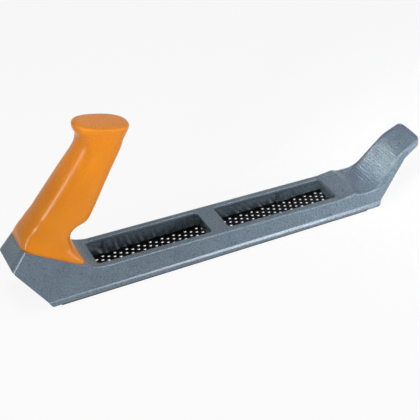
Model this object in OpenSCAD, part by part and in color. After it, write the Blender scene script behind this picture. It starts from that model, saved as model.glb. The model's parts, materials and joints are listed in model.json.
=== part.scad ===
/* [Rasp blade] */
// Length of the blade over its end tabs
blade_l = 254; // [220:1:290]
// Width of the blade over its side flanges
blade_w = 41.8; // [39:0.1:42]
// Thickness of the blade's sheet steel
blade_t = 0.7; // [0.5:0.1:1]
// How far the teeth stand below the sheet
tooth_h = 0.45; // [0.3:0.05:0.7]
// Diameter of the lip round each tooth's hole
tooth_d = 3; // [2.8:0.1:3.4]
// How far each tooth's lip is set back from its hole
tooth_set = 0.5; // [0.3:0.1:0.8]
// Diameter of the hole that each tooth cuts through
hole_d = 2.4; // [1.8:0.1:2.5]
// Distance along the blade between the holes of one row
hole_pitch = 9.67; // [9:0.01:12]
// Distance across the blade between rows
row_pitch = 2.1; // [2:0.1:3]
// How far along the blade each row is shifted from the last
row_shift = 4.05; // [3.8:0.05:4.4]
// Plain sheet left between the holes and each end of the blade
blade_plain = 12; // [10:1:30]
// Plain sheet left between the holes and each flange
hole_margin = 0.8; // [0.5:0.1:3]
// Height of the side flanges above the tooth tips
flange_h = 2.8; // [2.4:0.1:4.4]
// Gap between each flange's end and the end tab
flange_relief = 6; // [3:0.5:12]
// Width of the end tabs
tab_w = 30; // [24:1:34]
// Height of the end tabs above the tooth tips
tab_h = 12.4; // [11.5:0.1:12.6]

/* [Body casting] */
// Width across the side walls at the level of the tooth tips
body_w = 42.7; // [42:0.1:50]
// Width over the bead along the lower edge
bead_w = 44.6; // [44.6:0.1:52]
// Height of the bead's top above the tooth tips
bead_h = 6.1; // [5.6:0.1:6.4]
// Width of the bevel along the bead's top
bead_bevel = 1.7; // [0.6:0.1:1.7]
// Height of the lower rim above the tooth tips
rim_h = 2.4; // [1.8:0.1:2.6]
// Height of the top face above the tooth tips at the middle
body_h = 19.5; // [18:0.1:24]
// Fall of the top face towards the toe, in degrees
top_fall = 1.2; // [0:0.1:1.5]
// Draft of the side walls, in degrees
side_draft = 7.9; // [5:0.1:8.5]
// Thickness of the side walls
side_wall = 2.3; // [2:0.1:3]
// Thickness of the top plate
top_wall = 3; // [2.4:0.1:3.1]
// Thickness of the cross webs, the block's guide ribs and the guide pads' backing
web_t = 3; // [2:0.1:4]

/* [Windows] */
// Width of the two windows
window_w = 27; // [20:0.1:28]
// Corner radius of the windows
window_r = 3; // [2:0.5:8]
// Width of the bridge between the windows
bridge_w = 14.1; // [8:0.1:30]
// How much longer the front window is than the rear one
window_extra = 3.8; // [0:0.1:6]
// From the blade's heel end to the rear window
window_rear_gap = 31.2; // [31:0.1:45]
// From the front window to the blade's toe end
window_front_gap = 24.5; // [24:0.1:40]
// Length of the guide pads on the inner walls
guide_l = 13; // [6:0.5:20]
// How far the guide pads stand in from the walls
guide_t = 1.2; // [0.6:0.1:2]
// Distance between the guide pads along the body
guide_spacing = 147; // [100:1:160]

/* [Heel] */
// From the blade's heel end to the heel's rearmost corner
heel_reach = 31; // [30:0.5:40]
// Height of the rearmost corner
heel_corner_h = 37; // [34:0.5:40]
// How far the underside slopes in from the rearmost corner
heel_under_run = 24.1; // [22:0.1:26]
// Height of the heel's top rear edge
heel_top_h = 49.9; // [46:0.1:54]
// How far the top rear edge is set in from the rearmost corner
heel_top_set = 9.6; // [6:0.1:14]
// Radius of the upright corners of the heel's rear face
heel_r = 5.5; // [1:0.5:6]
// Slope of the deck under the handle, in degrees
deck_angle = 29.6; // [27:0.1:31]
// Thickness of the deck and of the heel's rear wall
deck_wall = 3.2; // [2.6:0.1:4]
// Radius where the deck runs into the top face
deck_blend_r = 25; // [10:1:40]

/* [Toe rest] */
// From the blade's toe end to the tip of the toe rest
toe_reach = 50; // [46:0.5:60]
// From the blade's toe end to the foot of the ramp
ramp_gap = 10.2; // [9:0.1:14]
// Slope of the ramp, in degrees
ramp_angle = 48.9; // [40:0.1:52]
// Length of the ramp, measured level
ramp_run = 22.6; // [18:0.1:28]
// Slope of the rest beyond the ramp, in degrees
rest_angle = 23.3; // [15:0.1:30]
// Thickness of the rest at its tip
tip_t = 3.7; // [3.2:0.1:5]
// Radius of the tip, seen from above
tip_r = 75; // [30:1:120]
// Slope of the skirts' lower edge under the ramp, in degrees
skirt_angle = 53.9; // [50:0.1:56]
// Length of the skirts' lower edge, measured level
skirt_run = 24.7; // [22:0.1:28]
// Thickness of the plate between the skirts
plate_t = 3; // [2.4:0.1:3.4]
// Radius where the ramp meets the top face and the rest
ramp_blend_r = 14; // [6:1:20]
// Height of the swell behind the ramp
hump_h = 2.3; // [0.5:0.1:3]
// Slope of the swell's front, in degrees
hump_fall = 22; // [15:1:60]
// Radius of the swell's front edge, seen from above
hump_r = 65; // [40:1:90]
// From the swell's front edge to the blade's toe end
hump_gap = 3.8; // [1:0.1:8]
// Depth of the finger pad's recess
pad_depth = 0.4; // [0.2:0.1:0.8]
// Plain border left round the finger pad
pad_rim = 3; // [2:0.1:5]

/* [Blade clamp] */
// Height of the clamp's axis above the tooth tips
clamp_h = 7.8; // [7.4:0.1:8]
// Diameter of the anchor stud
stud_d = 6; // [5:0.5:7]
// Diameter of the anchor stud's head
stud_head_d = 11; // [9:0.5:12]
// Thickness of the anchor stud's head
stud_head_t = 3; // [2:0.5:4]
// Thickness of the bulkhead that holds the anchor stud
bulkhead_t = 4; // [3:0.5:5]
// Diameter of the tension screw
screw_d = 5; // [4:0.5:6]
// Pitch of the tension screw's thread
screw_pitch = 0.8; // [0.5:0.1:1]
// Diameter of the tension screw's head
screw_head_d = 8; // [7:0.5:8.5]
// Thickness of the tension screw's head
screw_head_t = 3.4; // [2.5:0.1:4]
// Length of the tension block
block_l = 9; // [8:0.5:12]
// Width of the tension block
block_w = 24; // [20:1:26]
// Height of the tension block
block_h = 10.2; // [9:0.1:10.4]
// Travel of the tension block when the screw is slackened
block_travel = 3.2; // [2:0.1:4]
// Width of the square nut across its flats
nut_w = 8; // [7:0.5:9]
// Thickness of the square nut
nut_t = 4; // [3:0.5:5]
// Thickness of the toe wall that carries the tension screw
toe_wall_t = 3.5; // [3:0.1:4]
// Gap between the blade's toe end and the toe wall
toe_wall_gap = 4; // [3.5:0.1:5]
// Thickness of the washer under the screw's head
washer_t = 1; // [0.6:0.1:1.2]
// Diameter of the washer under the screw's head
washer_d = 8.6; // [8.6:0.1:9.4]

/* [Handle] */
// Largest width of the grip
grip_w = 29.2; // [24:0.2:34]
// Width of the cap across the tool
cap_w = 24.6; // [20:0.2:30]
// Height of the cap's rear rim above the tooth tips
cap_h = 130.3; // [120:0.5:140]
// Wall of the hollow handle
handle_wall = 3; // [2.4:0.1:3.6]
// Length of the handle's foot along the deck
foot_l = 48.2; // [44:0.1:50]
// How far the foot overhangs the heel's top rear edge, along the deck
foot_overhang = 0.3; // [0:0.1:1]
// Height of the foot's upright lip
lip_h = 2.2; // [1:0.1:3]
// Diameter of the handle screws
handle_screw_d = 5; // [4:0.5:6]
// Length of the handle screws under the head
handle_screw_l = 18; // [14:1:20]
// From the heel's top rear edge to the rear handle screw, along the deck
rear_screw_u = 9; // [7:0.5:11]
// From the heel's top rear edge to the front handle screw, along the deck
front_screw_u = 28; // [24:0.5:31]
// Outer diameter of the threaded inserts
insert_d = 7; // [6.5:0.1:8]
// Length of the threaded inserts
insert_l = 12; // [8:1:14]

/* [Hidden] */
$fn = 48;

// Clearances: faces that touch, threads and press fits, turning fits, sliding fits, and free room
seat_gap = 0.02;
thread_gap = 0.05;
turn_gap = 0.08;
slide_gap = 0.3;
free_gap = 0.5;
// How far a part of a casting reaches into its neighbour so that they join
bite = 1;
// Longer than anything that is cut
far = 400;
// Thickness of a slice that only carries an outline into a hull
slice_t = 0.02;

// The origin is midway along the whole tool, at the tooth tips
overall_l = heel_reach + blade_l + toe_reach;
blade_rear_x = heel_reach - overall_l / 2;
blade_front_x = overall_l / 2 - toe_reach;
blade_mid_x = (blade_rear_x + blade_front_x) / 2;
sheet_top = tooth_h + blade_t;

// Side view of the casting, as [x, z]
function top_z(x) = body_h - tan(top_fall) * x;
heel_corner = [-overall_l / 2, heel_corner_h];
heel_top = [heel_corner[0] + heel_top_set, heel_top_h];
rim_rear = [heel_corner[0] + heel_under_run, rim_h];
deck_front_x = (heel_top_h + tan(deck_angle) * heel_top[0] - body_h) / (tan(deck_angle) - tan(top_fall));
deck_front = [deck_front_x, top_z(deck_front_x)];
ramp_foot = [blade_front_x + ramp_gap, top_z(blade_front_x + ramp_gap)];
ramp_top = ramp_foot + ramp_run * [1, tan(ramp_angle)];
tip_top = [overall_l / 2, ramp_top[1] + tan(rest_angle) * (overall_l / 2 - ramp_top[0])];
tip_low = tip_top - [0, tip_t];
rim_front = [blade_front_x + ramp_gap, rim_h];
skirt_top = rim_front + skirt_run * [1, tan(skirt_angle)];
toe_wall_x = blade_front_x + toe_wall_gap;
toe_face_x = toe_wall_x + toe_wall_t;

// Rear ends of the tension block and of the tension screw
block_x = blade_front_x - blade_t - seat_gap - block_l;
screw_tail_x = block_x - block_travel - 2 * screw_pitch;

// The windows share what the gaps and the bridge leave of the blade's length
rear_window_l = (blade_l - window_rear_gap - window_front_gap - bridge_w - window_extra) / 2;
front_window_l = rear_window_l + window_extra;
rear_window_x = blade_rear_x + window_rear_gap;
bridge_x = rear_window_x + rear_window_l;
front_window_x = bridge_x + bridge_w;
front_window_end = front_window_x + front_window_l;

// Foot of the swell's front and the middle of its curve, seen from above
hump_front_x = blade_front_x - hump_gap;
hump_mid_x = hump_front_x - hump_r;

// Points, unit vectors and rounded outlines
function xy(p) = [p[0], p[1]];
function unit(v) = v / norm(v);
function mix(a, b, t) = a + (b - a) * t;
// An angle brought between -180 and 180 degrees
function near_zero(a) = a > 180 ? a - 360 : a < -180 ? a + 360 : a;
function corner_arc(p, a, b, r, steps) =
    let (
        half = acos(a * b) / 2,
        centre = p + unit(a + b) * r / sin(half),
        from = p + a * r / tan(half) - centre,
        to = p + b * r / tan(half) - centre,
        start = atan2(from[1], from[0]),
        sweep = near_zero(atan2(to[1], to[0]) - start)
    )
    [for (i = [0:steps]) centre + r * [cos(start + sweep * i / steps), sin(start + sweep * i / steps)]];
// Outline through corners [x, y, radius], each rounded to its radius
function rounded(path, steps = 6) = [
    for (i = [0:len(path) - 1])
        let (
            n = len(path),
            p = xy(path[i]),
            a = unit(xy(path[(i + n - 1) % n]) - p),
            b = unit(xy(path[(i + 1) % n]) - p)
        )
        each path[i][2] == 0 ? [p] : corner_arc(p, a, b, path[i][2], steps)
];
// Where the line through p along u meets the line through q along v
function meet(p, u, q, v) =
    let (d = q - p)
    p + u * (d[0] * v[1] - d[1] * v[0]) / (u[0] * v[1] - u[1] * v[0]);
function with_r(p, r) = [p[0], p[1], r];

// Half width of the casting inside or outside its drafted walls
function half_w(z, inset = 0) = body_w / 2 - z * tan(side_draft) - inset;

// Draws a side view [x, z] as a solid of the given width, centred on the tool
module side_view(w) {
    rotate([90, 0, 0]) linear_extrude(w, center = true) children();
}

// Draws a cross section [y, z] as a solid along the whole tool
module cross_section() {
    rotate([90, 0, 90]) linear_extrude(far, center = true) children();
}

// The drafted space between the side walls, from z0 to z1, drawn in by the inset
module between_walls(z0, z1, inset) {
    cross_section() polygon([
        [-half_w(z0, inset), z0],
        [half_w(z0, inset), z0],
        [half_w(z1, inset), z1],
        [-half_w(z1, inset), z1]
    ]);
}

module casting_profile() {
    heel_edge_r = 1.5;
    tip_edge_r = 0.5;
    skirt_blend_r = 4;
    polygon(rounded([
        with_r(rim_rear, 0),
        with_r(rim_front, 0),
        with_r(skirt_top, skirt_blend_r),
        with_r(tip_low, tip_edge_r),
        with_r(tip_top, tip_edge_r),
        with_r(ramp_top, ramp_blend_r),
        with_r(ramp_foot, ramp_blend_r),
        with_r(deck_front, deck_blend_r),
        with_r(heel_top, heel_edge_r),
        with_r(heel_corner, heel_edge_r)
    ]));
}

// Outside of the casting's cross section: drafted walls on a bead along the lower edge
module casting_section() {
    high = tip_top[1] + bite;
    right = [
        [bead_w / 2, rim_h],
        [bead_w / 2, bead_h - bead_bevel],
        [bead_w / 2 - bead_bevel, bead_h],
        [half_w(bead_h), bead_h],
        [half_w(high), high]
    ];
    left = [for (i = [len(right) - 1:-1:0]) [-right[i][0], right[i][1]]];
    polygon(concat(right, left));
}

// Everything outside the rounded upright corners of the heel's rear face, which the draft narrows upwards
module heel_corner_cutter() {
    lean = heel_top_set / (heel_top_h - heel_corner_h);
    arc_steps = 10;
    difference() {
        translate([heel_corner[0] - heel_r, -body_w, rim_h])
            cube([heel_top_set + 2 * heel_r, 2 * body_w, heel_top_h]);
        hull() for (z = [rim_h, heel_top_h + bite])
            translate([heel_corner[0] + lean * (z - heel_corner_h), 0, z]) linear_extrude(slice_t)
                polygon(rounded([
                    [0, -half_w(z), heel_r],
                    [overall_l / 2, -half_w(z), 0],
                    [overall_l / 2, half_w(z), 0],
                    [0, half_w(z), heel_r]
                ], arc_steps));
    }
}

// The hollow between the walls, wider below to take the blade's flanges
module hollow_section() {
    shoulder = flange_h + slide_gap;
    rebate = blade_w / 2 + slide_gap / 2;
    low = rim_h - bite;
    high = tip_top[1] + bite;
    right = [
        [rebate, low],
        [rebate, shoulder],
        [half_w(shoulder, side_wall), shoulder],
        [half_w(high, side_wall), high]
    ];
    left = [for (i = [len(right) - 1:-1:0]) [-right[i][0], right[i][1]]];
    polygon(concat(right, left));
}

// Side view of the hollow, open below along the sole and the heel's sloped underside
module hollow_profile() {
    top_dir = unit([1, -tan(top_fall)]);
    deck_dir = unit(deck_front - heel_top);
    back_dir = unit(heel_top - heel_corner);
    under_dir = unit(rim_rear - heel_corner);
    top_in = deck_front - [0, top_wall];
    deck_in = deck_front + deck_wall * [deck_dir[1], -deck_dir[0]];
    back_in = heel_corner + deck_wall * [back_dir[1], -back_dir[0]];
    back_foot = meet(back_in, back_dir, heel_corner, under_dir);
    polygon([
        back_foot - back_dir * bite,
        meet(back_in, back_dir, deck_in, deck_dir),
        meet(deck_in, deck_dir, top_in, top_dir),
        [toe_wall_x, top_z(toe_wall_x) - top_wall],
        [toe_wall_x, -bite],
        [heel_corner[0], -bite]
    ]);
}

// Side view of the hollow under the toe rest, ahead of the toe wall
module toe_hollow_profile() {
    ramp_dir = unit(ramp_top - ramp_foot);
    rest_dir = unit(tip_top - ramp_top);
    ramp_in = ramp_foot + plate_t * [ramp_dir[1], -ramp_dir[0]];
    rest_in = ramp_top + plate_t * [rest_dir[1], -rest_dir[0]];
    tip_in_x = tip_low[0] - tip_t;
    polygon([
        [toe_face_x, top_z(toe_face_x) - plate_t],
        meet([toe_face_x, top_z(toe_face_x) - plate_t], [1, 0], ramp_in, ramp_dir),
        meet(ramp_in, ramp_dir, rest_in, rest_dir),
        meet([tip_in_x, 0], [0, 1], rest_in, rest_dir),
        [tip_in_x, rim_h - bite],
        [toe_face_x, rim_h - bite]
    ]);
}

module window(x, l) {
    w = window_w / 2;
    translate([0, 0, sheet_top + flange_h]) linear_extrude(body_h + hump_h) polygon(rounded([
        [x, -w, window_r],
        [x + l, -w, window_r],
        [x + l, w, window_r],
        [x, w, window_r]
    ]));
}

// Everything outside the curved front edge of the toe rest
module tip_cutter() {
    corner_x = overall_l / 2 - tip_r;
    translate([0, 0, skirt_top[1] - 2 * tip_t]) linear_extrude(far) difference() {
        translate([skirt_top[0], -body_w]) square([overall_l, 2 * body_w]);
        translate([corner_x, 0]) circle(tip_r);
    }
}

// The cone whose front is the swell's falling side
module hump_cone() {
    rise = hump_h + 2 * bite;
    translate([hump_mid_x, 0, top_z(hump_front_x) - bite])
        cylinder(h = rise, r1 = hump_r + bite / tan(hump_fall), r2 = hump_r - (rise - bite) / tan(hump_fall));
}

// The swell rises straight from the front window to its crest
module hump() {
    crest_x = hump_front_x - hump_h / tan(hump_fall);
    intersection() {
        side_view(far) polygon([
            [front_window_end, top_z(front_window_end) - bite],
            [front_window_end, top_z(front_window_end)],
            [crest_x, top_z(crest_x) + hump_h],
            [hump_front_x, top_z(hump_front_x) + hump_h],
            [hump_front_x, top_z(hump_front_x) - bite]
        ]);
        between_walls(0, far / 4, 0);
        hump_cone();
    }
}

// Shallow recess that holds the finger pad's texture, starting just ahead of the swell
module pad_recess() {
    difference() {
        intersection() {
            side_view(far) difference() {
                translate([hump_mid_x, top_wall]) square([overall_l / 2 - pad_rim - hump_mid_x, far]);
                translate(pad_depth * [1, -1]) casting_profile();
            }
            between_walls(0, far / 4, pad_rim);
        }
        translate([hump_mid_x, 0, 0]) cylinder(h = far, r = hump_r + pad_rim / 2);
    }
}

// Cross webs from the top plate down to the blade's sheet, which bears on them
module cross_webs() {
    w = half_w(flange_h, side_wall);
    rear = rear_window_x - free_gap - web_t;
    front = screw_tail_x - 2 * free_gap - web_t / 2;
    for (x = [rear, bridge_x + bridge_w / 2, front])
        translate([x - web_t / 2, -w, sheet_top])
            cube([web_t, 2 * w, top_z(x) - top_wall - sheet_top + bite]);
}

// Bulkhead behind the blade, with a boss for the anchor stud
module bulkhead() {
    x = blade_rear_x - free_gap - bulkhead_t;
    boss_d = stud_head_d + 2;
    translate([x, -half_w(rim_h, side_wall), rim_h])
        cube([bulkhead_t, 2 * half_w(rim_h, side_wall), 2 * (clamp_h - rim_h)]);
    translate([x - bulkhead_t, 0, clamp_h]) rotate([0, 90, 0]) cylinder(h = bulkhead_t + bite, d = boss_d);
}

// Ribs that keep the tension block from turning
module guide_ribs() {
    l = block_l + block_travel + free_gap;
    x = blade_front_x - blade_t - free_gap - l;
    z = sheet_top + 2 * free_gap;
    for (s = [-1, 1])
        translate([x, s * (block_w / 2 + slide_gap + web_t / 4) - web_t / 4, z])
            cube([l, web_t / 2, top_z(x) - top_wall - z + bite]);
}

module guide_pads() {
    pad_out = side_wall - bite;
    low = flange_h + slide_gap;
    for (s = [-1, 1])
        let (x = blade_mid_x + s * guide_spacing / 2)
            intersection() {
                translate([x - guide_l / 2, -body_w, low])
                    cube([guide_l, 2 * body_w, top_z(x) - top_wall - low + bite]);
                difference() {
                    between_walls(0, far / 4, pad_out);
                    between_walls(0, far / 4, side_wall + guide_t);
                }
            }
}

// Places things on the deck, with z along its normal and u measured from the heel's top rear edge
module on_deck(u) {
    translate([heel_top[0], 0, heel_top[1]]) rotate([0, deck_angle, 0]) translate([u, 0, 0]) children();
}

// Places of the handle screws, and the pads under the deck that their washers bear on
screw_stations = [rear_screw_u, front_screw_u];
screw_pad_share = 2.6;
screw_pad_d = handle_screw_d * screw_pad_share;
screw_pad_t = 1;

module body_casting() {
    color([0.42, 0.48, 0.55]) difference() {
        union() {
            difference() {
                union() {
                    intersection() {
                        side_view(far) casting_profile();
                        cross_section() casting_section();
                    }
                    hump();
                }
                intersection() {
                    union() {
                        side_view(far) hollow_profile();
                        side_view(far) toe_hollow_profile();
                    }
                    cross_section() hollow_section();
                }
                pad_recess();
            }
            intersection() {
                side_view(far) casting_profile();
                union() {
                    bulkhead();
                    guide_ribs();
                    guide_pads();
                    translate([toe_wall_x - toe_wall_gap / 2, 0, clamp_h]) rotate([0, 90, 0])
                        cylinder(h = toe_wall_gap / 2 + bite, d = washer_d + 2);
                    for (u = screw_stations) on_deck(u) translate([0, 0, -deck_wall - screw_pad_t])
                        cylinder(h = screw_pad_t + bite, d = screw_pad_d);
                }
            }
            cross_webs();
        }
        window(rear_window_x, rear_window_l);
        window(front_window_x, front_window_l);
        tip_cutter();
        heel_corner_cutter();
        translate([blade_rear_x - far / 4, 0, clamp_h]) rotate([0, 90, 0])
            cylinder(h = far / 4, d = stud_d + 2 * thread_gap);
        translate([toe_wall_x - toe_wall_gap, 0, clamp_h]) rotate([0, 90, 0])
            cylinder(h = 2 * toe_wall_gap + toe_wall_t, d = screw_d + 2 * turn_gap);
        for (u = screw_stations) on_deck(u) translate([0, 0, -3 * deck_wall])
            cylinder(h = 4 * deck_wall, d = handle_screw_d + slide_gap);
    }
}

// Stations of the grip, each a slice across the handle, as offsets from the heel's top rear edge:
// [rear x, rear z, front x, front z, rear half width, front half width, rear and front roundness]
chin_w = grip_w / 2;
cap_half = cap_w / 2;
// From the cap's rear rim down to the middle of its tilted top
cap_drop = 4.2;
cap_mid = [66.5, cap_h - heel_top_h - cap_drop];
grip_stations = [
    [1.7, 5.6, 40.2, -16.4, 13.9, 15.3, 4.4, 5],
    [3.6, 8.9, 37.6, -10.6, 13.7, 14, 3.6, 3.6],
    [6.4, 12.4, 36.9, -4.9, chin_w - 0.8, chin_w - 0.8, 3, 3],
    [9, 15.6, 38.6, 0.7, chin_w - 0.6, chin_w - 0.6, 2.8, 2.8],
    [11, 18, 44.3, 4.6, chin_w - 0.5, chin_w - 0.4, 2.7, 2.7],
    [12.7, 20.1, 50.9, 6.8, chin_w - 0.4, chin_w - 0.3, 2.6, 2.6],
    [14.8, 22.8, 54.3, 11, chin_w - 0.2, chin_w - 0.2, 2.5, 2.5],
    [20.2, 29.8, 58.6, 18.6, chin_w - 0.1, chin_w - 0.1, 2.4, 2.4],
    [35.7, cap_mid[1] - 26.6, 70.4, cap_mid[1] - 35.1, chin_w - 1, chin_w - 1, 2.3, 2.3],
    [45.8, cap_mid[1] - 13.8, 78.6, cap_mid[1] - 20.6, cap_half, cap_half, 2.3, 2.3]
];

// Stations of the cap, measured from the middle of its top face:
// [height along its tilted axis, rear length, front length, half width]
cap_tilt = 12.3;
cap_round = 2.4;
cap_stations = [
    [-10.7, 16.2, 17.2, cap_half - 0.5],
    [-6.9, 16.9, 18.4, cap_half - 0.5],
    [-3.8, 19.2, 19.3, cap_half - 0.1],
    [-1.2, 20, 19.9, cap_half + 0.1],
    [0, 19.8, 19.8, cap_half],
    [1, 18.7, 18.7, cap_half - 1],
    [1.4, 14.5, 14.5, cap_half - 4.5],
    [1.5, 1.2, 1.2, 0.7]
];
function cap_station(s) =
    let (
        p = cap_mid + s[0] * [sin(cap_tilt), cos(cap_tilt)],
        along = [cos(cap_tilt), -sin(cap_tilt)],
        r = p - s[1] * along,
        f = p + s[2] * along
    )
    [r[0], r[1], f[0], f[1], s[3], s[3], cap_round, cap_round];

// The foot's stations lie on the deck, at height h above it, as wide as the casting there
foot_rear_round = 6.5;
foot_front_round = 12;
function deck_point(u, h) = [
    u * cos(deck_angle) + h * sin(deck_angle),
    h * cos(deck_angle) - u * sin(deck_angle)
];
function foot_station(h) =
    let (
        r = deck_point(-foot_overhang, h),
        f = deck_point(foot_l - foot_overhang, h),
        widths = [half_w(heel_top_h + r[1]), half_w(heel_top_h + f[1])]
    )
    [r[0], r[1], f[0], f[1], widths[0], widths[1], foot_rear_round, foot_front_round];

// Smooth stations between those above, by a curve through each four in turn
function spline(a, b, c, d, t) =
    b + t * ((c - a) / 2 + t * ((a - 2.5 * b + 2 * c - 0.5 * d) + t * (1.5 * (b - c) + (d - a) / 2)));
function smooth_stations(s, steps) = [
    for (i = [0:len(s) - 2])
        for (k = [0:(i == len(s) - 2 ? steps : steps - 1)])
            spline(s[max(i - 1, 0)], s[i], s[i + 1], s[min(i + 2, len(s) - 1)], k / steps)
];

function signed_pow(v, e) = v < 0 ? -pow(-v, e) : pow(v, e);
// One slice as a closed ring of points, drawn in by the inset
function ring(s, count, inset) =
    let (
        rear = [s[0], s[1]],
        front = [s[2], s[3]],
        mid = (rear + front) / 2 + heel_top,
        arm = (front - rear) / 2 * (1 - 2 * inset / norm(front - rear))
    )
    [
        for (i = [0:count - 1])
            let (
                roundness = 4 * i > count && 4 * i < 3 * count ? s[6] : s[7],
                along = signed_pow(cos(360 * i / count), 2 / roundness),
                across = signed_pow(sin(360 * i / count), 2 / roundness),
                p = mid + arm * along
            )
            [p[0], (mix(s[4], s[5], (1 + along) / 2) - inset) * across, p[1]]
    ];

// Skins a list of rings, with a flat face at each end
module skin(rings) {
    n = len(rings[0]);
    last = len(rings) - 1;
    points = [for (r = rings) each r];
    sides = [
        for (j = [0:last - 1])
            for (i = [0:n - 1])
                let (a = j * n + i, b = j * n + (i + 1) % n)
                each [[b, a, a + n], [b, a + n, b + n]]
    ];
    foot = [[for (i = [0:n - 1]) i]];
    head = [[for (i = [n - 1:-1:0]) last * n + i]];
    polyhedron(points, concat(sides, foot, head), convexity = 6);
}

ring_points = 40;
hollow_ring_points = 28;
station_steps = 3;

module handle_outside() {
    caps = [for (s = cap_stations) cap_station(s)];
    grip = smooth_stations(concat([foot_station(lip_h)], grip_stations, caps), station_steps);
    skin([for (s = concat([foot_station(0)], grip)) ring(s, ring_points, 0)]);
}

// The hollow stops one wall below the cap
module handle_inside() {
    stations = concat([foot_station(-bite), foot_station(lip_h)], grip_stations);
    skin([for (s = stations) ring(s, hollow_ring_points, handle_wall)]);
}

// Bosses for the inserts, tied to the handle's wall by ribs
module handle_bosses() {
    boss_wall = 2.5;
    boss_d = insert_d + 2 * boss_wall;
    rib_t = 2.4;
    for (u = screw_stations) on_deck(u) {
        cylinder(h = insert_l + handle_wall, d = boss_d);
        translate([-rib_t / 2, -grip_w, 0]) cube([rib_t, 2 * grip_w, insert_l]);
    }
    on_deck(0) translate([0, -rib_t / 2, 0]) cube([foot_l, rib_t, insert_l]);
}

module handle() {
    color([0.9, 0.55, 0.03]) difference() {
        handle_outside();
        difference() {
            handle_inside();
            handle_bosses();
        }
        for (u = screw_stations) on_deck(u) translate([0, 0, -bite])
            cylinder(h = insert_l + seat_gap + bite, d = insert_d + 2 * thread_gap);
    }
}

// Width of a driver socket as a share of the thread's diameter
socket_share = 0.7;

// The handle screws hang head down under the deck; shares of the thread's diameter
head_share = 1.8;
head_t_share = 0.6;
washer_share = 2.2;
handle_head_d = handle_screw_d * head_share;
handle_head_t = handle_screw_d * head_t_share;
handle_washer_d = handle_screw_d * washer_share;
washer_seat = -deck_wall - screw_pad_t - seat_gap;

module handle_screw(u) {
    color([0.62, 0.64, 0.66]) on_deck(u) translate([0, 0, washer_seat - washer_t - seat_gap]) difference() {
        union() {
            cylinder(h = handle_screw_l - bite, d = handle_screw_d);
            translate([0, 0, -handle_head_t]) cylinder(h = handle_head_t, d = handle_head_d);
        }
        translate([0, 0, -handle_head_t - bite])
            cylinder(h = handle_head_t / 2 + bite, d = handle_screw_d * socket_share, $fn = 6);
    }
}

module handle_washer(u) {
    color([0.72, 0.73, 0.74]) on_deck(u) translate([0, 0, washer_seat - washer_t]) difference() {
        cylinder(h = washer_t, d = handle_washer_d);
        translate([0, 0, -bite]) cylinder(h = washer_t + 2 * bite, d = handle_screw_d + slide_gap);
    }
}

module handle_insert(u) {
    color([0.8, 0.64, 0.3]) on_deck(u) translate([0, 0, seat_gap]) difference() {
        cylinder(h = insert_l - seat_gap, d = insert_d);
        translate([0, 0, -bite]) cylinder(h = insert_l + 2 * bite, d = handle_screw_d + 2 * thread_gap);
    }
}

// Places of the holes, with as many rows as the sheet has room for between its flanges
row_count = 2 * floor((blade_w / 2 - blade_t - hole_d / 2 - hole_margin) / row_pitch + 0.5);
hole_reach = blade_l / 2 - blade_plain;
first_hole_x = -3.6;
function hole_places() = [
    for (j = [0:row_count - 1])
        let (start = first_hole_x + row_shift * j, first = ceil((-hole_reach - start) / hole_pitch))
        for (x = [start + hole_pitch * first:hole_pitch:hole_reach])
            [x, row_pitch * ((row_count - 1) / 2 - j)]
];

module end_tab(slot_d) {
    translate([0, 0, tooth_h]) difference() {
        translate([0, -tab_w / 2, 0]) cube([blade_t, tab_w, tab_h - tooth_h]);
        translate([-bite, 0, clamp_h - tooth_h]) rotate([0, 90, 0])
            cylinder(h = blade_t + 2 * bite, d = slot_d);
        translate([-bite, -slot_d / 2, clamp_h - tooth_h]) cube([blade_t + 2 * bite, slot_d, tab_h]);
    }
}

module rasp_blade() {
    flange_l = blade_l - 2 * flange_relief;
    color([0.16, 0.17, 0.18]) translate([blade_mid_x, 0, 0]) difference() {
        union() {
            translate([-blade_l / 2, -blade_w / 2, tooth_h]) cube([blade_l, blade_w, blade_t]);
            for (s = [-1, 1])
                translate([-flange_l / 2, s * (blade_w - blade_t) / 2 - blade_t / 2, tooth_h])
                    cube([flange_l, blade_t, flange_h - tooth_h]);
            translate([-blade_l / 2, 0, 0]) end_tab(stud_d + 2 * slide_gap);
            translate([blade_l / 2 - blade_t, 0, 0]) end_tab(screw_d + 2 * slide_gap);
            for (p = hole_places()) translate([p[0] - tooth_set, p[1], 0])
                cylinder(h = tooth_h + blade_t / 4, d = tooth_d);
        }
        for (p = hole_places()) translate([p[0], p[1], -bite])
            cylinder(h = sheet_top + 2 * bite, d = hole_d);
    }
}

// Stud screwed into the bulkhead; its head holds the blade's heel tab
module anchor_stud() {
    head_x = blade_rear_x + blade_t + seat_gap;
    shank_l = blade_t + seat_gap + free_gap + bulkhead_t + bite;
    color([0.66, 0.68, 0.7]) translate([head_x, 0, clamp_h]) rotate([0, 90, 0]) difference() {
        union() {
            cylinder(h = stud_head_t, d = stud_head_d);
            translate([0, 0, -shank_l]) cylinder(h = shank_l + bite, d = stud_d);
        }
        translate([0, 0, stud_head_t / 2]) cylinder(h = stud_head_t, d = stud_d * socket_share, $fn = 6);
    }
}

// The screw turns in the toe wall and draws the block towards its head
head_x = toe_face_x + washer_t + 2 * seat_gap;
ring_t = 0.8;
ring_x = toe_wall_x - toe_wall_gap / 2 - ring_t - turn_gap;
groove_t = ring_t + 2 * thread_gap;
groove_d = screw_d - 1;

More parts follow.
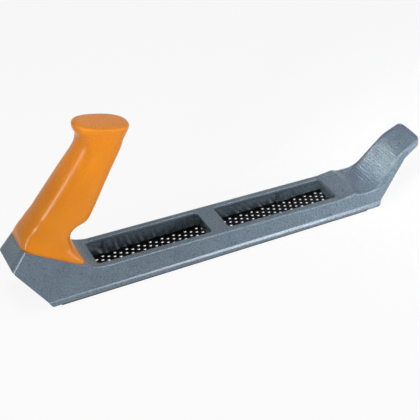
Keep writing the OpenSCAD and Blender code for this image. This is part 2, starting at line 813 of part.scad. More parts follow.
module tension_screw() {
    shank_l = head_x - screw_tail_x;
    color([0.66, 0.68, 0.7]) translate([screw_tail_x, 0, clamp_h]) rotate([0, 90, 0]) difference() {
        union() {
            cylinder(h = shank_l, d = screw_d);
            translate([0, 0, shank_l]) cylinder(h = screw_head_t, d = screw_head_d);
        }
        translate([0, 0, ring_x - thread_gap - screw_tail_x]) difference() {
            cylinder(h = groove_t, d = screw_d + bite);
            translate([0, 0, -bite]) cylinder(h = groove_t + 2 * bite, d = groove_d);
        }
        translate([-screw_head_d, -washer_t / 2, shank_l + screw_head_t / 2])
            cube([2 * screw_head_d, washer_t, screw_head_t]);
    }
}

module tension_washer() {
    color([0.72, 0.73, 0.74]) translate([toe_face_x + seat_gap, 0, clamp_h]) rotate([0, 90, 0]) difference() {
        cylinder(h = washer_t, d = washer_d);
        translate([0, 0, -bite]) cylinder(h = washer_t + 2 * bite, d = screw_d + 2 * turn_gap);
    }
}

// Open ring snapped into the screw's groove
module retaining_ring() {
    ring_w = 1.5;
    ring_d = screw_d + 2 * ring_w;
    color([0.5, 0.51, 0.52]) translate([ring_x, 0, clamp_h]) rotate([0, 90, 0]) difference() {
        cylinder(h = ring_t, d = ring_d);
        translate([0, 0, -bite]) cylinder(h = ring_t + 2 * bite, d = groove_d + 2 * thread_gap);
        translate([0, -groove_d / 3, -bite]) cube([ring_d, groove_d * 2 / 3, ring_t + 2 * bite]);
    }
}

block_z = clamp_h - block_h / 2 - free_gap;

module tension_block() {
    pocket = nut_w + 2 * thread_gap;
    pocket_l = nut_t + 2 * thread_gap;
    color([0.55, 0.56, 0.58]) difference() {
        translate([block_x, -block_w / 2, block_z]) cube([block_l, block_w, block_h]);
        translate([block_x - bite, 0, clamp_h]) rotate([0, 90, 0])
            cylinder(h = block_l + 2 * bite, d = screw_d + 2 * slide_gap);
        translate([block_x + (block_l - pocket_l) / 2, -pocket / 2, clamp_h - pocket / 2])
            cube([pocket_l, pocket, block_h]);
    }
}

module tension_nut() {
    color([0.72, 0.73, 0.74]) difference() {
        translate([block_x + (block_l - nut_t) / 2, -nut_w / 2, clamp_h - nut_w / 2])
            cube([nut_t, nut_w, nut_w]);
        translate([block_x, 0, clamp_h]) rotate([0, 90, 0])
            cylinder(h = block_l, d = screw_d + 2 * thread_gap);
    }
}

body_casting();
handle();
handle_screw(rear_screw_u);  // rear_handle_screw
handle_screw(front_screw_u);  // front_handle_screw
handle_washer(rear_screw_u);  // rear_handle_washer
handle_washer(front_screw_u);  // front_handle_washer
handle_insert(rear_screw_u);  // rear_handle_insert
handle_insert(front_screw_u);  // front_handle_insert
rasp_blade();
anchor_stud();
tension_screw();
tension_washer();
retaining_ring();
tension_block();
tension_nut();
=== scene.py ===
import json
import math

import bmesh
import bpy
from mathutils import Matrix, Vector


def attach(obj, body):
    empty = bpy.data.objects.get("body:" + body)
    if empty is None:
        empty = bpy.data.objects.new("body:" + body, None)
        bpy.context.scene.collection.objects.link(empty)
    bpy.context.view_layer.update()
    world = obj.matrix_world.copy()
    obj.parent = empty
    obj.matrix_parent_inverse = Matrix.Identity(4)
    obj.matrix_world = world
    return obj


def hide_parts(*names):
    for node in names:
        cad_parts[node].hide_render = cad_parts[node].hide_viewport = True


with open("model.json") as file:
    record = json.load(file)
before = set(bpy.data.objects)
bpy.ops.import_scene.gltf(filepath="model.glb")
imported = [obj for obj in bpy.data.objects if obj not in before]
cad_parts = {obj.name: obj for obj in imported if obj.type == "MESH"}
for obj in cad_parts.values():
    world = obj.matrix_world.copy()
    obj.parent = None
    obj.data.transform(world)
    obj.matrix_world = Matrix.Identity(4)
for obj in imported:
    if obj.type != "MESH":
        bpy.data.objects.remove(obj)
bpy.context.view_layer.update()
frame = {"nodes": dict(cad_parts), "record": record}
nodes = frame["nodes"]

MM = 0.001


# Materials

# The colour sockets of a Mix node
MIX_FIRST = 6
MIX_SECOND = 7
MIX_RESULT = 2


def node_tools(tree):
    """Short hands that add a node to a tree and join two of its sockets."""
    def add(kind, **settings):
        node = tree.nodes.new(kind)
        for key, value in settings.items():
            setattr(node, key, value)
        return node

    def join(output, socket):
        tree.links.new(output, socket)

    return add, join


def new_material(name):
    """A material with its Principled shader, and short hands to add and join nodes."""
    material = bpy.data.materials.new(name)
    material.use_nodes = True
    add, join = node_tools(material.node_tree)
    return material, material.node_tree.nodes["Principled BSDF"], add, join


def noise(add, join, place, size_mm, detail=2.0, rough=0.5):
    """Noise whose lumps are about size_mm across."""
    node = add("ShaderNodeTexNoise", noise_dimensions="3D")
    node.inputs["Scale"].default_value = 1000 / size_mm
    node.inputs["Detail"].default_value = detail
    node.inputs["Roughness"].default_value = rough
    join(place.outputs["Object"], node.inputs["Vector"])
    return node.outputs["Fac"]


def spread(add, join, source, low, high, to_low, to_high):
    """Brings a value from the range low to high into the range to_low to to_high."""
    node = add("ShaderNodeMapRange")
    node.inputs["From Min"].default_value = low
    node.inputs["From Max"].default_value = high
    node.inputs["To Min"].default_value = to_low
    node.inputs["To Max"].default_value = to_high
    join(source, node.inputs["Value"])
    return node.outputs["Result"]


def blend_colours(add, join, factor, first, second):
    """Mixes two colours, or a colour and another mix, by a factor."""
    node = add("ShaderNodeMix", data_type="RGBA")
    join(factor, node.inputs["Factor"])
    for value, socket in ((first, node.inputs[MIX_FIRST]), (second, node.inputs[MIX_SECOND])):
        if isinstance(value, tuple):
            socket.default_value = value + (1.0,)
        else:
            join(value, socket)
    return node.outputs[MIX_RESULT]


def bump(add, join, height, depth_mm, strength):
    """Turns a height into a surface that is up to depth_mm deep."""
    node = add("ShaderNodeBump")
    node.inputs["Strength"].default_value = strength
    node.inputs["Distance"].default_value = depth_mm * MM
    join(height, node.inputs["Height"])
    return node.outputs["Normal"]


def casting_paint():
    """Blue-grey hammered paint on a die casting: fine mottle, a little orange peel, satin gloss."""
    material, shader, add, join = new_material("casting_paint")
    place = add("ShaderNodeTexCoord")
    mottle = noise(add, join, place, 0.9, detail=3.0, rough=0.6)
    cloud = noise(add, join, place, 14, detail=3.0)
    peel = noise(add, join, place, 0.7)
    speck = spread(add, join, mottle, 0.34, 0.66, 0.0, 1.0)
    tint = spread(add, join, cloud, 0.35, 0.65, 0.0, 1.0)
    dark = blend_colours(add, join, tint, (0.054, 0.080, 0.103), (0.070, 0.101, 0.130))
    light = blend_colours(add, join, tint, (0.124, 0.168, 0.210), (0.140, 0.189, 0.236))
    join(blend_colours(add, join, speck, dark, light), shader.inputs["Base Color"])
    shader.inputs["Metallic"].default_value = 0.15
    shader.inputs["Specular IOR Level"].default_value = 0.5
    join(spread(add, join, mottle, 0.3, 0.7, 0.26, 0.31), shader.inputs["Roughness"])
    join(bump(add, join, peel, 0.04, 0.5), shader.inputs["Normal"])
    return material


def handle_plastic():
    """Smooth orange moulding with a satin gloss and the faint waviness of thick plastic."""
    material, shader, add, join = new_material("handle_plastic")
    place = add("ShaderNodeTexCoord")
    cloud = noise(add, join, place, 30)
    grain = noise(add, join, place, 0.5)
    tint = spread(add, join, cloud, 0.3, 0.7, 0.0, 1.0)
    orange = blend_colours(add, join, tint, (0.57, 0.174, 0.001), (0.63, 0.200, 0.002))
    join(orange, shader.inputs["Base Color"])
    join(spread(add, join, grain, 0.3, 0.7, 0.24, 0.3), shader.inputs["Roughness"])
    join(bump(add, join, grain, 0.01, 0.5), shader.inputs["Normal"])
    shader.inputs["Specular IOR Level"].default_value = 0.3
    return material


def blade_steel():
    """Blackened spring steel, worn bright at the tips of the teeth."""
    material, shader, add, join = new_material("blade_steel")
    place = add("ShaderNodeTexCoord")
    cloud = noise(add, join, place, 4, detail=4.0)
    split = add("ShaderNodeSeparateXYZ")
    join(place.outputs["Object"], split.inputs["Vector"])
    worn = spread(add, join, split.outputs["Z"], 0.12 * MM, 0.02 * MM, 0.0, 1.0)
    tint = spread(add, join, cloud, 0.3, 0.7, 0.0, 1.0)
    black = blend_colours(add, join, tint, (0.016, 0.018, 0.021), (0.034, 0.037, 0.042))
    join(blend_colours(add, join, worn, black, (0.50, 0.51, 0.52)), shader.inputs["Base Color"])
    shader.inputs["Metallic"].default_value = 0.8
    join(spread(add, join, cloud, 0.3, 0.7, 0.38, 0.55), shader.inputs["Roughness"])
    return material


def bare_metal(name, dark, light, metallic, rough_low, rough_high):
    """Plain metal with fine specks of tone and gloss."""
    material, shader, add, join = new_material(name)
    place = add("ShaderNodeTexCoord")
    marks = noise(add, join, place, 0.6, detail=3.0)
    tint = spread(add, join, marks, 0.3, 0.7, 0.0, 1.0)
    join(blend_colours(add, join, tint, dark, light), shader.inputs["Base Color"])
    shader.inputs["Metallic"].default_value = metallic
    join(spread(add, join, marks, 0.3, 0.7, rough_low, rough_high), shader.inputs["Roughness"])
    join(bump(add, join, marks, 0.01, 0.4), shader.inputs["Normal"])
    return material


# The finish of each of the record's material slots
FINISHES = {
    "casting_paint": casting_paint(),
    "handle_plastic": handle_plastic(),
    "blade_steel": blade_steel(),
    "fixing_steel": bare_metal(
        "fixing_steel", (0.50, 0.51, 0.53), (0.66, 0.67, 0.68), 1.0, 0.24, 0.38
    ),
    "insert_brass": bare_metal(
        "insert_brass", (0.62, 0.43, 0.16), (0.76, 0.56, 0.24), 1.0, 0.25, 0.4
    ),
    "spring_steel": bare_metal(
        "spring_steel", (0.10, 0.10, 0.11), (0.16, 0.16, 0.17), 0.9, 0.35, 0.5
    ),
    "clamp_steel": bare_metal(
        "clamp_steel", (0.34, 0.35, 0.37), (0.46, 0.47, 0.49), 1.0, 0.32, 0.5
    ),
}


# Meshes

BEND_STEPS = 8
OUTLINE_STEPS = 5
WIDEST_EDGE = 3.2


def merged_copy(node, flat_angle=0.4):
    """A CAD node's mesh with its loose triangles joined and its flat faces made whole."""
    bm = bmesh.new()
    bm.from_mesh(nodes[node].data)
    bmesh.ops.remove_doubles(bm, verts=bm.verts, dist=0.002 * MM)
    for edge in bm.edges:
        edge.smooth = edge.calc_face_angle(0.0) < math.radians(flat_angle)
    bmesh.ops.dissolve_limit(
        bm, angle_limit=math.radians(flat_angle), verts=bm.verts, edges=bm.edges, delimit={"SHARP"}
    )
    return bm


def new_object(bm, name):
    """Makes a bmesh an object of the scene, and frees it."""
    mesh = bpy.data.meshes.new(name)
    bm.to_mesh(mesh)
    bm.free()
    item = bpy.data.objects.new(name, mesh)
    bpy.context.scene.collection.objects.link(item)
    return item


def settle(item):
    """Makes an object's live modifiers part of its mesh."""
    bpy.context.view_layer.update()
    shaped = item.evaluated_get(bpy.context.evaluated_depsgraph_get())
    mesh = bpy.data.meshes.new_from_object(shaped)
    item.modifiers.clear()
    item.data = mesh


def in_triangles(item):
    """Splits an object's faces into triangles, which are flat, so that a cut is exact."""
    bm = bmesh.new()
    bm.from_mesh(item.data)
    bmesh.ops.triangulate(bm, faces=bm.faces)
    bm.to_mesh(item.data)
    bm.free()


def combine(item, tool, operation):
    """Joins, cuts or trims an object with a tool, which is used up."""
    in_triangles(item)
    in_triangles(tool)
    change = item.modifiers.new("shape", "BOOLEAN")
    change.operation = operation
    change.solver = "MANIFOLD"
    change.object = tool
    settle(item)
    bpy.data.objects.remove(tool)


def prism(corners, half_mm):
    """A side view of (x, z, radius) corners in mm, stood up as a solid across the tool."""
    bm = bmesh.new()
    ring = [bm.verts.new((x * MM, -half_mm * MM, z * MM)) for x, z, radius in corners]
    side = bm.faces.new(ring)
    moved = bmesh.ops.extrude_face_region(bm, geom=[side])["geom"]
    far = [v for v in moved if isinstance(v, bmesh.types.BMVert)]
    bmesh.ops.translate(bm, verts=far, vec=(0, 2 * half_mm * MM, 0))
    bmesh.ops.recalc_face_normals(bm, faces=bm.faces)
    for x, z, radius in corners:
        if radius:
            place = Vector((x * MM, 0, z * MM))
            edges = [
                e for e in bm.edges
                if ((e.verts[0].co + e.verts[1].co) / 2 - place).length < 0.05 * MM
            ]
            turn = edges[0].calc_face_angle()
            bmesh.ops.bevel(
                bm, geom=edges, offset=radius * math.tan(turn / 2) * MM, offset_type="OFFSET",
                segments=BEND_STEPS, profile=0.5, affect="EDGES", material=-1, clamp_overlap=False,
            )
    return bm


def upright_prism(corners, half_mm, middle_z):
    """A plan of (x, y, radius) corners in mm, made a solid from below to above a height."""
    bm = prism(corners, half_mm)
    bmesh.ops.rotate(bm, verts=bm.verts, matrix=Matrix.Rotation(math.radians(90), 3, "X"))
    bmesh.ops.translate(bm, verts=bm.verts, vec=(0, 0, middle_z * MM))
    return bm


def drafted(bm, spare_mm):
    """Brings both sides of a prism onto the casting's drafted side walls."""
    for v in bm.verts:
        v.co.y = math.copysign((half_width(v.co.z / MM) + spare_mm) * MM, v.co.y)


def round_outline(item, radius_at):
    """Rounds a prism's two side outlines; radius_at gives the radius in mm at each x and z."""
    bm = bmesh.new()
    bm.from_mesh(item.data)
    layer = bm.edges.layers.float.new("bevel_weight_edge")
    for edge in bm.edges:
        first, second = edge.link_faces
        if (abs(first.normal.y) > 0.9) != (abs(second.normal.y) > 0.9):
            middle = (edge.verts[0].co + edge.verts[1].co) / 2 / MM
            edge[layer] = radius_at(middle.x, middle.z) / WIDEST_EDGE
    bm.to_mesh(item.data)
    bm.free()
    bevel = item.modifiers.new("rounded outline", "BEVEL")
    bevel.limit_method = "WEIGHT"
    bevel.offset_type = "OFFSET"
    bevel.width = WIDEST_EDGE * MM
    bevel.segments = OUTLINE_STEPS
    bevel.profile = 0.5
    bevel.use_clamp_overlap = False
    settle(item)


def dress(item, body, slot, smooth_angle, weighted=False):
    """Gives a finished piece its shading, its finish and the body it rides on."""
    mesh = item.data
    mesh.shade_smooth()
    mesh.set_sharp_from_angle(angle=math.radians(smooth_angle))
    mesh.materials.clear()
    mesh.materials.append(FINISHES[slot])
    if weighted:
        flat = item.modifiers.new("flat faces stay flat", "WEIGHTED_NORMAL")
        flat.mode = "FACE_AREA"
        flat.weight = 100
        flat.keep_sharp = True
    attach(item, body)


# Casting

# Lengths in mm, as in the frame: x along the blade, z above the tooth tips
FALL_DEGREES = 1.2
RAMP_DEGREES = 48.9
REST_DEGREES = 23.3
SIDE_DRAFT = math.tan(math.radians(7.9))
TOP_FALL = math.tan(math.radians(FALL_DEGREES))
DECK_SLOPE = math.tan(math.radians(29.6))
RAMP_SLOPE = math.tan(math.radians(RAMP_DEGREES))
WALL_HALF = 21.35
TOP_Z = 19.5


def half_width(z):
    return WALL_HALF - SIDE_DRAFT * z


def top_z(x):
    return TOP_Z - TOP_FALL * x


# Heel and deck
HEEL_UNDER_X = -143.4
HEEL_TOP = (-157.9, 49.9)
HEEL_CORNER = (-167.5, 37.0)
DECK_FRONT_X = (HEEL_TOP[1] + DECK_SLOPE * HEEL_TOP[0] - TOP_Z) / (DECK_SLOPE - TOP_FALL)
DECK_BEND_R = 25

# Ramp, rest and tip
RAMP_FOOT_X = 127.7
RAMP_RUN = 22.6
RAMP_TOP = (RAMP_FOOT_X + RAMP_RUN, top_z(RAMP_FOOT_X) + RAMP_RUN * RAMP_SLOPE)
RAMP_BEND_R = 14
TIP_X = 167.5
TIP_Z = RAMP_TOP[1] + (TIP_X - RAMP_TOP[0]) * math.tan(math.radians(REST_DEGREES))
TIP_T = 3.7
TIP_R = 75.0
TIP_TRIM = 0.05
TIP_CORNER_R = 4
TIP_SWEEP = math.radians(8)

# Lower edge, under the walls and under the toe
RIM_Z = 2.4
BEAD_TOP_Z = 6.1
BEAD_BLOCK = (330, 60, 10)
SKIRT_TOP = (152.4, RIM_Z + 24.7 * math.tan(math.radians(53.9)))
SKIRT_BEND_R = 4
SKIRT_RISE = (TIP_Z - TIP_T - SKIRT_TOP[1]) / (TIP_X - SKIRT_TOP[0])

# Windows
WINDOWS = ((-105.3, -15.1), (-1.0, 93.0))
WINDOW_HALF = 13.5
WINDOW_R = 3.0
WINDOW_LIP = 0.8
LIP_SPARE = 0.02
LIP_STEPS = 5

# Swell behind the ramp
SWELL_FRONT_X = 113.7
SWELL_R = 65.0
SWELL_H = 2.3
SWELL_EDGE_R = 2.2
SWELL_FALL = math.tan(math.radians(22))
CREST_X = SWELL_FRONT_X - SWELL_H / SWELL_FALL

# Radii of the outer edges: on the deck, and how they grow and shrink from there
LOWER_EDGE_R = 0.8
DECK_EDGE_R = 0.45
TOP_EDGE_GAIN = 1.15
RAMP_EDGE_GAIN = 1.5
TIP_EDGE_LOSS = 0.9

# How far working shapes stay off the faces that they leave as they are, and where they end
SPARE = 0.01
BELOW_Z = -4
BEHIND_X = -200
PAST_TIP = 3
PAST_TIP_RISE = 1.29
BLOCK_HALF = 30


def share(value, low, high):
    """How far a value has come from low to high, kept between 0 and 1."""
    return max(0.0, min(1.0, (value - low) / (high - low)))


def outline_radius(x, z):
    """How round the casting's outer edges are along its side view."""
    deck_z = HEEL_TOP[1] - DECK_SLOPE * (x - HEEL_TOP[0])
    ramp_z = top_z(RAMP_FOOT_X) + max(0, x - RAMP_FOOT_X - 3) * RAMP_SLOPE
    if z < RIM_Z + 1 or (x < HEEL_TOP[0] - 1 and z > HEEL_CORNER[1] + 1):
        return 0.0
    if x < DECK_FRONT_X - 5 and z < deck_z - 3 or x > RAMP_FOOT_X and z < ramp_z - 3:
        return LOWER_EDGE_R
    on_top = share(x, DECK_FRONT_X - 5, DECK_FRONT_X + 5)
    on_ramp = share(x, RAMP_FOOT_X - 8, RAMP_FOOT_X + 4)
    near_tip = share(x, RAMP_TOP[0], RAMP_TOP[0] + 12)
    return (
        DECK_EDGE_R + TOP_EDGE_GAIN * on_top + RAMP_EDGE_GAIN * on_ramp - TIP_EDGE_LOSS * near_tip
    )


def toe_plan():
    """The plan of the toe rest with its curved front and round corners, drafted like the walls."""
    wide = half_width(TIP_Z - TIP_T / 2) + SPARE
    front = TIP_X - TIP_TRIM - TIP_R + TIP_R / math.cos(TIP_SWEEP)
    plan = upright_prism([
        (front, 0, TIP_R),
        (front - wide * math.tan(TIP_SWEEP), wide, TIP_CORNER_R),
        (BEHIND_X, wide, 0),
        (BEHIND_X, -wide, 0),
        (front - wide * math.tan(TIP_SWEEP), -wide, TIP_CORNER_R),
    ], half_mm=40, middle_z=25)
    for v in plan.verts:
        v.co.y *= (half_width(v.co.z / MM) + 2 * SPARE) / wide
    return new_object(plan, "toe_plan")


def wall_block():
    """The casting's side view with its rounded outline, without bead and swell."""
    walls = prism([
        (HEEL_UNDER_X, BELOW_Z, 0),
        (RAMP_FOOT_X, BELOW_Z, 0),
        (RAMP_FOOT_X + SPARE, RIM_Z, 0),
        (SKIRT_TOP[0] + SPARE, SKIRT_TOP[1] - SPARE, SKIRT_BEND_R),
        (TIP_X + PAST_TIP, TIP_Z - TIP_T + PAST_TIP * SKIRT_RISE - SPARE, 0),
        (TIP_X + PAST_TIP, TIP_Z + PAST_TIP_RISE + SPARE, 0),
        (RAMP_TOP[0], RAMP_TOP[1] + SPARE, RAMP_BEND_R),
        (RAMP_FOOT_X, top_z(RAMP_FOOT_X) + SPARE, RAMP_BEND_R),
        (DECK_FRONT_X, top_z(DECK_FRONT_X) + SPARE, DECK_BEND_R),
        (HEEL_TOP[0], HEEL_TOP[1] + SPARE, 0),
        (HEEL_CORNER[0] - SPARE, HEEL_CORNER[1], 0),
    ], BLOCK_HALF)
    drafted(walls, SPARE)
    block = new_object(walls, "envelope")
    round_outline(block, outline_radius)
    return block


def swell_block():
    """The swell behind the ramp, whose front falls as a cone does."""
    # Its own faces lie a hair apart from the walls', so that the two join cleanly
    rear = WINDOWS[1][1]
    in_window = rear - 0.7
    swell = prism([
        (in_window, top_z(rear) - 6, 0),
        (in_window, top_z(rear) + 2 * SPARE, 0),
        (rear, top_z(rear) + 2 * SPARE, 0),
        (CREST_X, top_z(CREST_X) + SWELL_H + SPARE, 0),
        (RAMP_FOOT_X - 1, top_z(RAMP_FOOT_X) + SWELL_H + SPARE, 0),
        (RAMP_FOOT_X - 1, top_z(RAMP_FOOT_X) - 6.5, 0),
    ], BLOCK_HALF)
    drafted(swell, SPARE / 2)
    swell = new_object(swell, "swell")
    round_outline(swell, lambda x, z: SWELL_EDGE_R if z > top_z(x) - 3 else 0.0)
    # The cone starts below the top face and ends above the crest
    low, high = 1.5, SWELL_H + 1.5
    cone = bmesh.new()
    bmesh.ops.create_cone(
        cone, cap_ends=True, segments=256, radius1=(SWELL_R + SPARE + low / SWELL_FALL) * MM,
        radius2=(SWELL_R + SPARE - high / SWELL_FALL) * MM, depth=(low + high) * MM,
        matrix=Matrix.Translation((
            (SWELL_FRONT_X - SWELL_R) * MM, 0, (top_z(SWELL_FRONT_X) + (high - low) / 2) * MM
        )),
    )
    combine(swell, new_object(cone, "cone"), "INTERSECT")
    return swell


def bead_block():
    """Room for the bead and all below it, up to just over the bead's top."""
    bead = bmesh.new()
    bmesh.ops.create_cube(bead, size=1.0)
    bmesh.ops.scale(bead, verts=bead.verts, vec=[side * MM for side in BEAD_BLOCK])
    bmesh.ops.translate(bead, verts=bead.verts, vec=(0, 0, (BEAD_TOP_Z - 4.8) * MM))
    return new_object(bead, "bead")


def build_envelope():
    """The space that the casting's rounded outline fills: walls, swell and bead block."""
    envelope = wall_block()
    combine(envelope, swell_block(), "UNION")
    combine(envelope, toe_plan(), "INTERSECT")
    combine(envelope, bead_block(), "UNION")
    return envelope


def window_rim(x_rear, x_front):
    """What rounding a window's rim takes off: its outline, flared towards the top face."""
    bm = bmesh.new()
    section = [(-0.3, -1.6 * WINDOW_LIP)]
    for step in range(LIP_STEPS + 1):
        rise = step / LIP_STEPS * math.pi / 2
        grow = WINDOW_LIP * (1 - math.cos(rise)) + LIP_SPARE
        section.append((grow, WINDOW_LIP * (math.sin(rise) - 1)))
    section.append((WINDOW_LIP + LIP_SPARE, 1.0))
    loops = []
    for grow, height in section:
        outline = bmesh.ops.create_grid(bm, x_segments=1, y_segments=1, size=1.0)["verts"]
        bmesh.ops.scale(
            bm, verts=outline,
            vec=(((x_front - x_rear) / 2 + grow) * MM, (WINDOW_HALF + grow) * MM, 1),
        )
        bmesh.ops.bevel(
            bm, geom=outline, offset=(WINDOW_R + grow) * MM, offset_type="OFFSET",
            segments=BEND_STEPS, profile=0.5, affect="VERTICES", material=-1, clamp_overlap=False,
        )
        face = next(f for f in bm.faces if not f.tag)
        face.tag = True
        for v in face.verts:
            v.co.z = height * MM
        loops.append(list(face.edges))
        bmesh.ops.delete(bm, geom=[face], context="FACES_ONLY")
    for low, high in zip(loops, loops[1:]):
        bmesh.ops.bridge_loops(bm, edges=low + high)
    bmesh.ops.edgeloop_fill(bm, edges=loops[0])
    bmesh.ops.edgeloop_fill(bm, edges=loops[-1])
    bmesh.ops.recalc_face_normals(bm, faces=bm.faces)
    middle = (x_rear + x_front) / 2
    for v in bm.verts:
        v.co.x += middle * MM
        v.co.z += top_z(v.co.x / MM) * MM
    return new_object(bm, "rim")


# The toe's top outline from behind the ramp to the tip, as lengths in mm and turns in radians
PAD_START_X = 106.0
FOOT_TURN = math.radians(RAMP_DEGREES + FALL_DEGREES)
TOP_TURN = math.radians(REST_DEGREES - RAMP_DEGREES)
FOOT_TANGENT = RAMP_BEND_R * math.tan(FOOT_TURN / 2)
TOP_TANGENT = RAMP_BEND_R * math.tan(-TOP_TURN / 2)
PAD_RUN = (
    ((RAMP_FOOT_X - PAD_START_X) / math.cos(math.radians(FALL_DEGREES)) - FOOT_TANGENT, 0),
    (RAMP_BEND_R * FOOT_TURN, FOOT_TURN),
    (RAMP_RUN / math.cos(math.radians(RAMP_DEGREES)) - FOOT_TANGENT - TOP_TANGENT, 0),
    (-RAMP_BEND_R * TOP_TURN, TOP_TURN),
    (30, 0),
)

# The knurled pad on it, and the recess that it lies in
KNURL_PITCH = 2.2
KNURL_H = 0.6
KNURL_ROWS = 34
SHEET_HALF = 19
PAD_DEPTH = 0.6
PAD_T = 0.4
PAD_RIM = 2.6
PAD_GAP = 0.3
PAD_SWELL_GAP = 1.8
PAD_SWELL_SWEEP = math.radians(10)
PAD_REAR_CORNER_R = 3
PAD_TIP_RIM = 1.2
PAD_TIP_CORNER_R = 3.5
PAD_MIDDLE_Z = 16
PAD_HALF = half_width(PAD_MIDDLE_Z) - PAD_RIM - PAD_GAP
ROOM_ABOVE = 1.5
ROOM_T = 1.52


def along_toe(distance):
    """Place and heading at a distance in mm along the toe's top outline."""
    x, z, heading = PAD_START_X, top_z(PAD_START_X), -math.radians(FALL_DEGREES)
    for length, turn in PAD_RUN:
        step = min(distance, length)
        if turn:
            bend, turned = length / turn, heading + turn * step / length
            x += bend * (math.sin(turned) - math.sin(heading))
            z -= bend * (math.cos(turned) - math.cos(heading))
            heading = turned
        else:
            x += step * math.cos(heading)
            z += step * math.sin(heading)
        distance -= step
        if distance <= 0:
            break
    return x, z, heading


def toe_sheet(top, thickness, knurl=0.0):
    """A sheet of small squares that follows the toe's outline at a height in mm above it."""
    bm = bmesh.new()
    reach = KNURL_ROWS * KNURL_PITCH
    bmesh.ops.create_grid(bm, x_segments=KNURL_ROWS, y_segments=KNURL_ROWS, size=reach / 2 * MM)
    bmesh.ops.translate(bm, verts=bm.verts, vec=(reach / 2 * MM, 0, top * MM))
    for side in (-1, 1):
        bmesh.ops.bisect_plane(
            bm, geom=bm.verts[:] + bm.edges[:] + bm.faces[:], clear_outer=True,
            plane_co=(0, side * SHEET_HALF * MM, 0), plane_no=(0, side, 0),
        )
    bmesh.ops.solidify(bm, geom=bm.faces, thickness=thickness * MM)
    bmesh.ops.recalc_face_normals(bm, faces=bm.faces)
    if knurl:
        level = (top - 0.1) * MM
        tops = [f for f in bm.faces if f.normal.z > 0.9 and f.calc_center_median().z > level]
        bmesh.ops.poke(bm, faces=tops, offset=knurl * MM)
    for v in bm.verts:
        x, z, heading = along_toe(v.co.x / MM)
        lift = v.co.z / MM
        v.co.x = (x - lift * math.sin(heading)) * MM
        v.co.z = (z + lift * math.cos(heading)) * MM
    return bm


def pad_outline(margin):
    """The pad's outline seen from above, drafted like the walls, with a margin in mm round it."""
    half = PAD_HALF + margin
    bend = SWELL_R + PAD_SWELL_GAP - margin
    rear = SWELL_FRONT_X - SWELL_R + bend / math.cos(PAD_SWELL_SWEEP)
    front = TIP_X - PAD_TIP_RIM + margin - TIP_R + TIP_R / math.cos(TIP_SWEEP)
    outline = upright_prism([
        (rear, 0, bend),
        (rear - half * math.tan(PAD_SWELL_SWEEP), half, PAD_REAR_CORNER_R),
        (front - half * math.tan(TIP_SWEEP), half, PAD_TIP_CORNER_R),
        (front, 0, TIP_R),
        (front - half * math.tan(TIP_SWEEP), -half, PAD_TIP_CORNER_R),
        (rear - half * math.tan(PAD_SWELL_SWEEP), -half, PAD_REAR_CORNER_R),
    ], half_mm=30, middle_z=32)
    for v in outline.verts:
        v.co.y *= 1 - SIDE_DRAFT * (v.co.z / MM - PAD_MIDDLE_Z) / PAD_HALF
    return new_object(outline, "pad_outline")


def build_casting():
    """The casting with rounded edges, rounded window rims and the recess for the finger pad."""
    shell = new_object(merged_copy("body_casting"), "body_shell")
    combine(shell, build_envelope(), "INTERSECT")
    for x_rear, x_front in WINDOWS:
        combine(shell, window_rim(x_rear, x_front), "DIFFERENCE")
    room = new_object(toe_sheet(ROOM_ABOVE, ROOM_T + PAD_DEPTH), "pad_room")
    combine(room, pad_outline(PAD_GAP), "INTERSECT")
    combine(shell, room, "DIFFERENCE")
    return shell


def build_finger_pad():
    """Rows of small pyramids that follow the ramp and the rest, set in a shallow recess."""
    pad = new_object(toe_sheet(-PAD_DEPTH, PAD_T, KNURL_H), "finger_pad")
    combine(pad, pad_outline(0.0), "INTERSECT")
    return pad


body_shell = build_casting()
dress(body_shell, "body", "casting_paint", 35, weighted=True)
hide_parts("body_casting")

finger_pad = build_finger_pad()
dress(finger_pad, "body", "casting_paint", 15)


# Handle

grip = new_object(merged_copy("handle", 0.0), "grip")
dress(grip, "body", "handle_plastic", 50)
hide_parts("handle")


# Other nodes

SLOT_OF = {part["node"]: part["material_slot"] for part in frame["record"]["subparts"]}
for name, node in nodes.items():
    node.data.materials.clear()
    node.data.materials.append(FINISHES[SLOT_OF[name]])


# Stage, light, camera

# Lengths in mm; the eye's place is given from the blade's middle, along the camera's own axes
FLOOR_Z = -0.05
FLOOR_GLOW = 0.9
WORLD_LIGHT = 0.2
VIEW_AZIMUTH = math.radians(-26.538)
VIEW_ELEVATION = math.radians(35.673)
BLADE_MIDDLE_X = -9.5
EYE_RIGHT = -0.567
EYE_UP = 23.219
EYE_BACK = 816.825
FOCAL_PX = 1075.667
PHOTO_PX = 420
SENSOR_MM = 36


def camera_share(add, join):
    """1 for what the camera, a mirror or a glass sees, 0 for light that falls on the object."""
    path = add("ShaderNodeLightPath")
    first = add("ShaderNodeMath", operation="MAXIMUM")
    second = add("ShaderNodeMath", operation="MAXIMUM")
    join(path.outputs["Is Camera Ray"], first.inputs[0])
    join(path.outputs["Is Glossy Ray"], first.inputs[1])
    join(first.outputs[0], second.inputs[0])
    join(path.outputs["Is Transmission Ray"], second.inputs[1])
    return second.outputs[0]


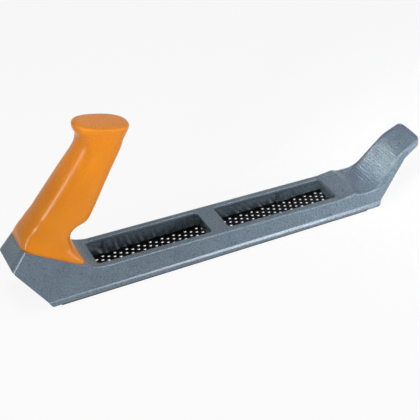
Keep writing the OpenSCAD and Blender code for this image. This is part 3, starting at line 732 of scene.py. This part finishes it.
def build_floor():
    """A pale floor that the camera sees nearly white, with the tool's shadow on it."""
    bm = bmesh.new()
    bmesh.ops.create_grid(bm, x_segments=1, y_segments=1, size=4.0)
    bmesh.ops.translate(bm, verts=bm.verts, vec=(0, 0, FLOOR_Z * MM))
    floor = new_object(bm, "floor")
    material, shader, add, join = new_material("pale_floor")
    shader.inputs["Base Color"].default_value = (0.8, 0.8, 0.8, 1)
    shader.inputs["Roughness"].default_value = 1.0
    shader.inputs["Specular IOR Level"].default_value = 0.0
    glow = add("ShaderNodeEmission")
    glow.inputs["Color"].default_value = (1, 1, 1, 1)
    glow.inputs["Strength"].default_value = 1.0
    mix = add("ShaderNodeMixShader")
    dimmed = add("ShaderNodeMath", operation="MULTIPLY")
    dimmed.inputs[1].default_value = FLOOR_GLOW
    join(camera_share(add, join), dimmed.inputs[0])
    join(dimmed.outputs[0], mix.inputs[0])
    join(shader.outputs[0], mix.inputs[1])
    join(glow.outputs[0], mix.inputs[2])
    join(mix.outputs[0], material.node_tree.nodes["Material Output"].inputs["Surface"])
    floor.data.materials.append(material)


def build_world():
    """A studio that looks white and lights the tool weakly from all round."""
    world = bpy.data.worlds.new("studio")
    bpy.context.scene.world = world
    world.use_nodes = True
    add, join = node_tools(world.node_tree)
    background = world.node_tree.nodes["Background"]
    seen = add("ShaderNodeBackground")
    seen.inputs["Color"].default_value = (1, 1, 1, 1)
    seen.inputs["Strength"].default_value = 1.0
    background.inputs["Color"].default_value = (0.92, 0.96, 1.0, 1)
    background.inputs["Strength"].default_value = WORLD_LIGHT
    mix = add("ShaderNodeMixShader")
    join(camera_share(add, join), mix.inputs[0])
    join(background.outputs[0], mix.inputs[1])
    join(seen.outputs[0], mix.inputs[2])
    join(mix.outputs[0], world.node_tree.nodes["World Output"].inputs["Surface"])


def soft_lamp(
    name, azimuth, elevation, distance, width, height, power,
    aim=(0, 0, 0.04), beam=180, mirrored=True, lights=True,
):
    """An area lamp that looks at a point of the tool from a direction given by azimuth and
    elevation in degrees.
    """
    a, e = math.radians(azimuth), math.radians(elevation)
    back = Vector((math.sin(a) * math.cos(e), -math.cos(a) * math.cos(e), math.sin(e)))
    lamp = bpy.data.lights.new(name, "AREA")
    lamp.shape = "RECTANGLE"
    lamp.size = width
    lamp.size_y = height
    lamp.energy = power
    lamp.spread = math.radians(beam)
    holder = bpy.data.objects.new(name, lamp)
    bpy.context.scene.collection.objects.link(holder)
    holder.location = back * distance + Vector(aim)
    holder.rotation_euler = back.to_track_quat("Z", "Y").to_euler()
    holder.visible_glossy = mirrored
    holder.visible_diffuse = lights


def build_camera():
    """The photograph's viewpoint, fitted to the tool's edges."""
    azimuth, elevation = VIEW_AZIMUTH, VIEW_ELEVATION
    right = Vector((math.cos(azimuth), math.sin(azimuth), 0))
    up = Vector((
        -math.sin(azimuth) * math.sin(elevation),
        math.cos(azimuth) * math.sin(elevation),
        math.cos(elevation),
    ))
    back = right.cross(up)
    data = bpy.data.cameras.new("viewpoint")
    data.sensor_width = SENSOR_MM
    data.lens = SENSOR_MM * FOCAL_PX / PHOTO_PX
    data.clip_start = 0.05
    camera = bpy.data.objects.new("viewpoint", data)
    bpy.context.scene.collection.objects.link(camera)
    blade_middle = Vector((BLADE_MIDDLE_X, 0, 0))
    place = (blade_middle + right * EYE_RIGHT + up * EYE_UP + back * EYE_BACK) * MM
    turn = Matrix((right, up, back)).transposed().to_4x4()
    camera.matrix_world = Matrix.Translation(place) @ turn
    bpy.context.scene.camera = camera


build_floor()
build_world()
soft_lamp("front_key", 24, 13, 1.3, 0.9, 0.5, 9.2, mirrored=False)
soft_lamp("edge_strip", 28, 40, 1.3, 0.45, 0.06, 6.5, lights=False)
soft_lamp("toe_card", 52, 12, 0.55, 0.3, 0.3, 1.3)
soft_lamp("ridge_spot", -64, 25, 1.3, 0.2, 0.06, 0.12, aim=(0.153, -0.02, 0.043), beam=9)
soft_lamp("heel_strip", -56, 10, 1.4, 0.05, 0.45, 5.5)
soft_lamp("cap_card", -80, 70, 0.3, 0.12, 0.12, 0.55, aim=(-0.08, 0, 0.13))
build_camera()

bpy.context.scene.view_settings.view_transform = "Standard"
